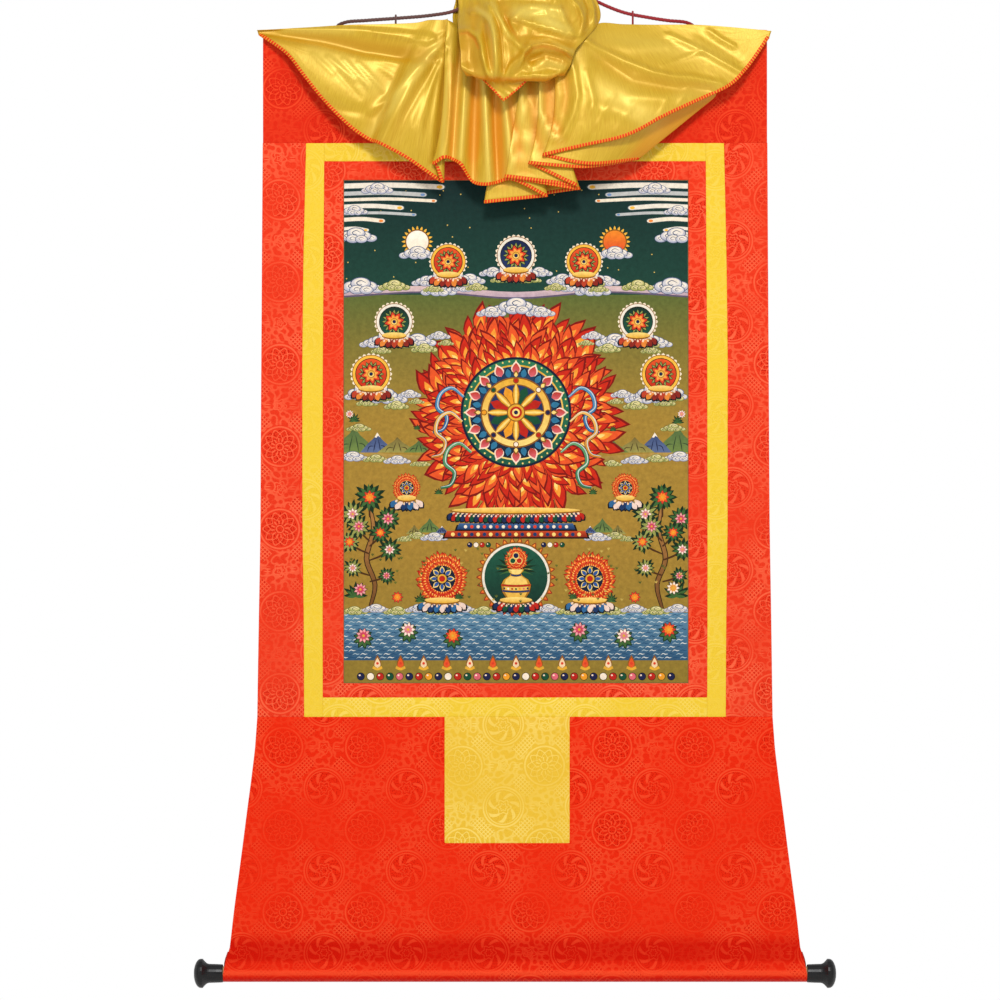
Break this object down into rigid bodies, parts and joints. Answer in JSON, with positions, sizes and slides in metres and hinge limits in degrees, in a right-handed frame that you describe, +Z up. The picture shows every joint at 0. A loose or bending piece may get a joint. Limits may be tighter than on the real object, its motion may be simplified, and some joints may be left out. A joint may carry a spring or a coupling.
{
  "type": "thangka scroll painting with its bottom rod and hanging cord",
  "caption": "Hanging scroll with a painting in a red and yellow brocade mount, a gathered silk veil, a bottom rod with turned knobs and a hanging cord.",
  "frame": {"origin": "top of the hanging cord's centre line, where a nail or hook holds the scroll", "axes": "+Z up along the hanging scroll, +X to the viewer's right, the painted side faces -Y"},
  "size_m": [0.8358, 0.1053, 1.3461],
  "materials": {
    "red_brocade": "satin woven silk",
    "yellow_brocade": "satin woven silk",
    "painted_canvas": "matt mineral paint on primed cotton",
    "plain_wood": "bare",
    "black_lacquered_wood": "lacquered",
    "gold_satin": "glossy satin",
    "dark_red_cord": "matt twisted cotton"
  },
  "bodies": {
    "root": {"heading": "red_brocade", "top_batten": "plain_wood", "side_panel_left": "red_brocade", "side_panel_right": "red_brocade", "frame_left": "yellow_brocade", "frame_right": "yellow_brocade", "frame_top": "yellow_brocade", "frame_bottom": "yellow_brocade", "border_left": "red_brocade", "border_right": "red_brocade", "border_top": "red_brocade", "border_bottom": "red_brocade", "painting": "painted_canvas", "lower_panel": "red_brocade", "door_panel": "yellow_brocade", "bottom_rod": "plain_wood", "knob_left": "black_lacquered_wood", "knob_right": "black_lacquered_wood", "veil": "gold_satin", "hanging_cord": "dark_red_cord", "cord_tie_left": "dark_red_cord", "cord_tie_right": "dark_red_cord"}
  },
  "joints": []
}
